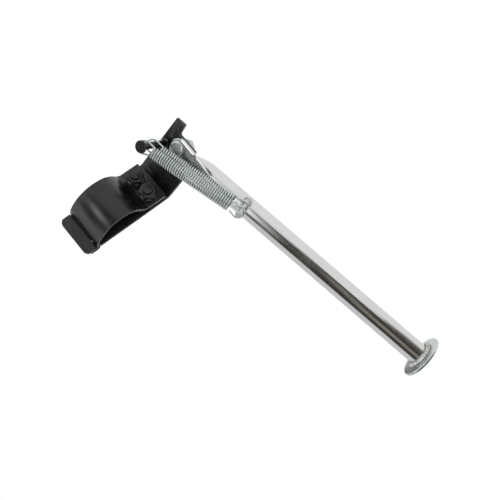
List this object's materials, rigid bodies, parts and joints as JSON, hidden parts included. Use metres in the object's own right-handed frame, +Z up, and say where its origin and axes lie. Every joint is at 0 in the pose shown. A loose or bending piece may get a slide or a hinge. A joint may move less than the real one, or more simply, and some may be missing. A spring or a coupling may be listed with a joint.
{
  "type": "kickstand",
  "caption": "Clamp-on motorcycle side stand: a bent bracket and arched strap grip the swingarm, a tube leg with a round foot swings on a pivot bolt and is held by extension springs.",
  "frame": {"origin": "middle of the base plate's face against which the swingarm is clamped", "axes": "+X along the swingarm towards the folded leg's foot, +Y outboard through the arch of the strap, +Z up along the base plate to its notched head"},
  "size_m": [0.2836, 0.1059, 0.1931],
  "materials": {
    "black_paint": "gloss black paint",
    "chrome": "bright chrome plate",
    "zinc": "light zinc plate",
    "steel": "plain steel",
    "bronze": "oiled sintered bronze",
    "weld": "plated weld"
  },
  "bodies": {
    "bracket": {"bracket": "black_paint", "clamp_strap": "black_paint", "clamp_nut_rear": "black_paint", "clamp_nut_front": "black_paint", "clamp_bolt_rear": "black_paint", "clamp_bolt_front": "black_paint", "spring_post": "black_paint", "clamp_washer_rear": "zinc", "clamp_washer_front": "zinc", "pivot_bolt": "zinc", "pivot_nut": "zinc", "pivot_washer_inner": "zinc", "pivot_washer_outer": "zinc", "spring_post_nut": "zinc", "clamp_lock_washer_rear": "steel", "clamp_lock_washer_front": "steel", "pivot_lock_washer": "steel", "spring_post_washer": "steel", "pivot_bush": "bronze"},
    "leg": {"leg_tube": "chrome", "foot_disc": "zinc", "foot_weld_bead": "weld", "spring_anchor_pin": "zinc", "anchor_weld": "weld"},
    "inner_spring": {"inner_spring": "zinc"},
    "outer_spring": {"outer_spring": "zinc"}
  },
  "joints": [
    {"name": "leg_pivot", "type": "hinge", "parent": "bracket", "child": "leg", "pos_m": [0.0003, 0.02962, -0.06962], "axis": [0, 0.682, 0.7314], "range_deg": [0, 93]},
    {"name": "inner_spring_swing", "type": "hinge", "parent": "bracket", "child": "inner_spring", "pos_m": [-0.0129, 0.02428, -0.06464], "axis": [0, 0.682, 0.7314], "range_deg": [0, 78.9], "deforming": ["inner_spring"]},
    {"name": "outer_spring_swing", "type": "hinge", "parent": "bracket", "child": "outer_spring", "pos_m": [-0.0129, 0.02428, -0.06464], "axis": [0, 0.682, 0.7314], "range_deg": [0, 79.5], "deforming": ["outer_spring"]}
  ],
  "couplings": [
    {"joint": "inner_spring_swing", "follows": "leg_pivot", "ratio": 0.8453},
    {"joint": "outer_spring_swing", "follows": "leg_pivot", "ratio": 0.8516}
  ]
}
